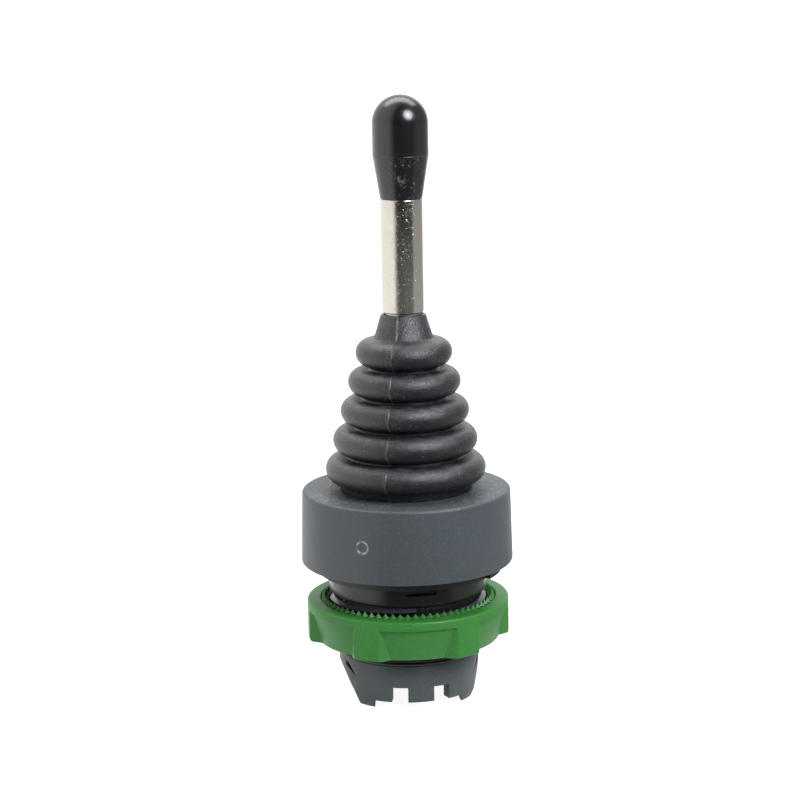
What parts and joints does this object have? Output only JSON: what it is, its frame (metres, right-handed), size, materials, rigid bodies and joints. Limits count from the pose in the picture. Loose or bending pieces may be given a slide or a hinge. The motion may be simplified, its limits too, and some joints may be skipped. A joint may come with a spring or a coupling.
{
  "type": "joystick operating head",
  "caption": "Spring-return joystick head for a round panel hole: a capped lever in a bellows boot, a round bezel with a seal, and a ring nut behind the panel.",
  "frame": {"origin": "on the lever's axis, on the plane of the panel's front face, where the seal's underside sits", "axes": "+Z out of the panel along the lever, -Y towards the head's front, +X towards the seal's tab"},
  "size_m": [0.0292, 0.0292, 0.0829],
  "materials": {
    "knob_black": "glossy moulded plastic",
    "bush_brass": "turned",
    "sleeve_nickel": "satin nickel plate",
    "spindle_steel": "turned and zinc plated",
    "boot_rubber": "matte moulded rubber",
    "clamp_grey": "matte moulded plastic",
    "bezel_slate": "fine spark texture",
    "gasket_black": "soft seal rubber",
    "collar_black": "glossy moulded plastic",
    "nut_green": "satin moulded plastic",
    "base_slate": "satin moulded plastic",
    "guide_ivory": "matte moulded plastic",
    "yoke_zinc": "die cast",
    "pin_steel": "ground",
    "ring_brass": "turned",
    "hub_steel": "turned",
    "star_steel": "stamped",
    "spring_steel": "spring wire",
    "plunger_white": "matte moulded plastic"
  },
  "bodies": {
    "housing": {"bezel_ring": "bezel_slate", "boot_clamp_ring": "clamp_grey", "bellows_boot": "boot_rubber", "flange_gasket": "gasket_black", "collar_body": "collar_black", "base_skirt": "base_slate", "plunger_guide": "guide_ivory", "gimbal_yoke": "yoke_zinc", "outer_pivot_pins": "pin_steel", "return_spring": "spring_steel", "plunger_spring_front": "spring_steel", "plunger_spring_back": "spring_steel", "plunger_spring_left": "spring_steel", "plunger_spring_right": "spring_steel"},
    "gimbal": {"gimbal_ring": "ring_brass"},
    "lever": {"grip_knob": "knob_black", "knob_insert": "bush_brass", "lever_sleeve": "sleeve_nickel", "lever_spindle": "spindle_steel", "lever_hub": "hub_steel", "cross_pin": "pin_steel", "tilt_star": "star_steel", "retaining_clip": "spring_steel"},
    "nut": {"fixing_nut": "nut_green"},
    "front_plunger": {"plunger_front": "plunger_white"},
    "back_plunger": {"plunger_back": "plunger_white"},
    "left_plunger": {"plunger_left": "plunger_white"},
    "right_plunger": {"plunger_right": "plunger_white"}
  },
  "joints": [
    {"name": "tilt_x", "type": "hinge", "parent": "housing", "child": "gimbal", "pos_m": [0, 0, 0.0025], "axis": [1, 0, 0], "range_deg": [-12, 12], "stiffness_Nm_per_rad": 0.3, "deforming": ["bellows_boot", "return_spring"]},
    {"name": "tilt_y", "type": "hinge", "parent": "gimbal", "child": "lever", "pos_m": [0, 0, 0.0025], "axis": [0, 1, 0], "range_deg": [-12, 12], "stiffness_Nm_per_rad": 0.3, "deforming": ["bellows_boot", "return_spring"]},
    {"name": "nut_travel", "type": "slide", "parent": "housing", "child": "nut", "axis": [0, 0, 1], "range_m": [-0.0145, 0.0028]},
    {"name": "front_press", "type": "slide", "parent": "housing", "child": "front_plunger", "axis": [0, 0, 1], "range_m": [-0.0013, 0.0013], "deforming": ["plunger_spring_front"]},
    {"name": "back_press", "type": "slide", "parent": "housing", "child": "back_plunger", "axis": [0, 0, 1], "range_m": [-0.0013, 0.0013], "deforming": ["plunger_spring_back"]},
    {"name": "left_press", "type": "slide", "parent": "housing", "child": "left_plunger", "axis": [0, 0, 1], "range_m": [-0.0013, 0.0013], "deforming": ["plunger_spring_left"]},
    {"name": "right_press", "type": "slide", "parent": "housing", "child": "right_plunger", "axis": [0, 0, 1], "range_m": [-0.0013, 0.0013], "deforming": ["plunger_spring_right"]}
  ],
  "couplings": [
    {"joint": "front_press", "follows": "tilt_x", "m_per_rad": -0.0062},
    {"joint": "back_press", "follows": "tilt_x", "m_per_rad": 0.0062},
    {"joint": "right_press", "follows": "tilt_y", "m_per_rad": -0.0062},
    {"joint": "left_press", "follows": "tilt_y", "m_per_rad": 0.0062}
  ]
}
